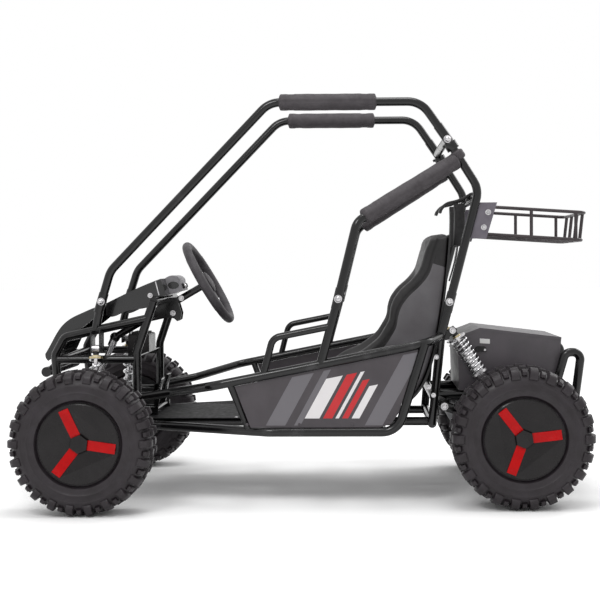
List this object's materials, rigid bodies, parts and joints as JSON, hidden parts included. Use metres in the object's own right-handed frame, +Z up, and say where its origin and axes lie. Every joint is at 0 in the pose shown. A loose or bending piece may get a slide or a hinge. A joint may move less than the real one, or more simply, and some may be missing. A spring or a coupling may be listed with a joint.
{
  "type": "off-road kart",
  "caption": "Small single-seat off-road kart: tubular cage with foam pads, bucket seat, knobbly tyres, coil-spring shocks and a rear cargo basket.",
  "frame": {"origin": "centre of the bounding box on the ground", "axes": "+X forward, +Y to the driver's left, +Z up"},
  "size_m": [1.658, 1.001, 1.2],
  "materials": {
    "frame_paint": "gloss",
    "rack_paint": "satin",
    "bracket_paint": "satin",
    "foam": "matte",
    "tyre_rubber": "matte",
    "rim_paint": "satin",
    "cover_plastic": "satin",
    "blade_red": "gloss",
    "panel_plastic": "satin",
    "body_plastic": "gloss",
    "seat_cover": "satin",
    "shell_plastic": "satin",
    "webbing": "matte",
    "grip_rubber": "matte",
    "zinc_steel": "satin",
    "spring_chrome": "polished",
    "box_sheet": "satin",
    "cast_aluminium": "satin"
  },
  "bodies": {
    "chassis": {"front_frame": "frame_paint", "front_crossbars": "frame_paint", "mid_rails": "frame_paint", "pivot_rails": "frame_paint", "side_frames": "frame_paint", "main_frame": "frame_paint", "rear_frame": "frame_paint", "roll_hoop": "frame_paint", "cage_bars": "frame_paint", "cage_pads": "foam", "side_bars": "frame_paint", "side_bar_pads": "foam", "side_panels": "panel_plastic", "floor_pan": "rim_paint", "seat_shell": "shell_plastic", "seat_cushion": "seat_cover", "seat_rails": "frame_paint", "harness": "webbing", "nose_cowl": "body_plastic", "dash_cowl": "body_plastic", "front_bumper": "frame_paint", "battery_box": "box_sheet", "rear_rack": "rack_paint", "rack_brackets": "bracket_paint", "control_box": "box_sheet", "controller_box": "cover_plastic", "drive_chain": "zinc_steel", "brake_caliper": "cast_aluminium", "rear_bumper": "frame_paint", "swing_arm": "frame_paint", "upper_wishbones": "frame_paint", "lower_wishbones": "frame_paint", "shocks": "zinc_steel", "springs": "spring_chrome", "rack_housing": "cast_aluminium", "motor": "cast_aluminium", "pedals": "frame_paint"},
    "steering": {"steering_wheel": "grip_rubber", "steering_column": "zinc_steel"},
    "lower_shaft": {"steering_shaft": "zinc_steel"},
    "rack": {"tie_rods": "zinc_steel"},
    "knuckle_left": {"knuckle_left": "zinc_steel"},
    "knuckle_right": {"knuckle_right": "zinc_steel"},
    "front_wheel_left": {"front_tyre_left": "tyre_rubber", "front_rim_left": "rim_paint", "front_cover_left": "cover_plastic", "front_blades_left": "blade_red"},
    "front_wheel_right": {"front_tyre_right": "tyre_rubber", "front_rim_right": "rim_paint", "front_cover_right": "cover_plastic", "front_blades_right": "blade_red"},
    "rear_wheels": {"rear_axle": "zinc_steel", "rear_tyres": "tyre_rubber", "rear_rims": "rim_paint", "rear_covers": "cover_plastic", "rear_blades": "blade_red", "sprocket": "zinc_steel", "brake_disc": "zinc_steel"}
  },
  "joints": [
    {"name": "steering_turn", "type": "hinge", "parent": "chassis", "child": "steering", "pos_m": [0.3236, 0, 0.642], "axis": [-0.866, 0, 0.5], "range_deg": [-120, 120]},
    {"name": "shaft_turn", "type": "hinge", "parent": "chassis", "child": "lower_shaft", "pos_m": [0.62, 0, 0.47087], "axis": [-0.3874, 0, 0.9219], "range_deg": [-121, 121]},
    {"name": "rack_slide", "type": "slide", "parent": "chassis", "child": "rack", "axis": [0, 1, 0], "range_m": [-0.034, 0.034]},
    {"name": "knuckle_left_turn", "type": "hinge", "parent": "chassis", "child": "knuckle_left", "pos_m": [0.626, 0.33, 0.203], "axis": [0, 0, 1], "range_deg": [-25.3, 25.3]},
    {"name": "knuckle_right_turn", "type": "hinge", "parent": "chassis", "child": "knuckle_right", "pos_m": [0.626, -0.33, 0.203], "axis": [0, 0, 1], "range_deg": [-25.3, 25.3]},
    {"name": "front_wheel_left_spin", "type": "hinge", "parent": "knuckle_left", "child": "front_wheel_left", "pos_m": [0.626, 0.428, 0.203], "axis": [0, 1, 0], "continuous": true},
    {"name": "front_wheel_right_spin", "type": "hinge", "parent": "knuckle_right", "child": "front_wheel_right", "pos_m": [0.626, -0.428, 0.203], "axis": [0, 1, 0], "continuous": true},
    {"name": "rear_axle_spin", "type": "hinge", "parent": "chassis", "child": "rear_wheels", "pos_m": [-0.614, 0, 0.203], "axis": [0, 1, 0], "continuous": true}
  ],
  "couplings": [
    {"joint": "shaft_turn", "follows": "steering_turn", "ratio": 1},
    {"joint": "rack_slide", "follows": "steering_turn", "m_per_rad": 0.015739},
    {"joint": "knuckle_left_turn", "follows": "steering_turn", "ratio": 0.20833},
    {"joint": "knuckle_right_turn", "follows": "steering_turn", "ratio": 0.20833}
  ]
}
